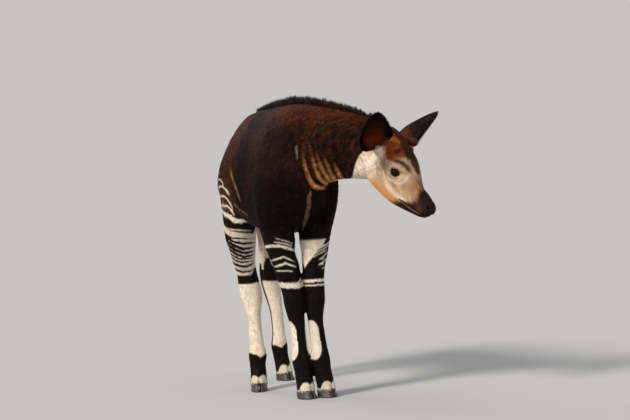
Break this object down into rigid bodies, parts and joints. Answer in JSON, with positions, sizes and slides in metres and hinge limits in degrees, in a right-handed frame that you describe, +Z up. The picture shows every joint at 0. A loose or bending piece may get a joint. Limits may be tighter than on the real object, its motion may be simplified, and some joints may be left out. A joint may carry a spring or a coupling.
{
  "type": "standing okapi calf model",
  "caption": "Life-size still model of a standing okapi calf with an upright mane, its neck lowered and its head turned, on dark cloven hooves.",
  "frame": {"origin": "bottom centre of the bounding box, on the floor under the soles", "axes": "+Z up, -Y is the way the trunk faces, +X is the calf's left"},
  "size_m": [0.5894, 1.268, 1.1499],
  "materials": {
    "dark coat": "short glossy near-black brown fur",
    "neck coat": "short reddish dark brown fur",
    "face coat": "very short cream-grey fur",
    "ear coat": "short dark fur, rusty inside",
    "tail coat": "dark fur with a black tuft",
    "banded leg coat": "short fur banded black and white",
    "hoof horn": "smooth blue-grey horn",
    "wet eye": "dark, wet and clear"
  },
  "bodies": {
    "root": {"torso": "dark coat", "neck": "neck coat", "head": "face coat", "ear_right": "ear coat", "ear_left": "ear coat", "eye_right": "wet eye", "eye_left": "wet eye", "tail": "tail coat", "leg_front_right": "banded leg coat", "hoof_front_right_left_claw": "hoof horn", "hoof_front_right_right_claw": "hoof horn", "leg_front_left": "banded leg coat", "hoof_front_left_left_claw": "hoof horn", "hoof_front_left_right_claw": "hoof horn", "leg_hind_right": "banded leg coat", "hoof_hind_right_left_claw": "hoof horn", "hoof_hind_right_right_claw": "hoof horn", "leg_hind_left": "banded leg coat", "hoof_hind_left_left_claw": "hoof horn", "hoof_hind_left_right_claw": "hoof horn"}
  },
  "joints": []
}
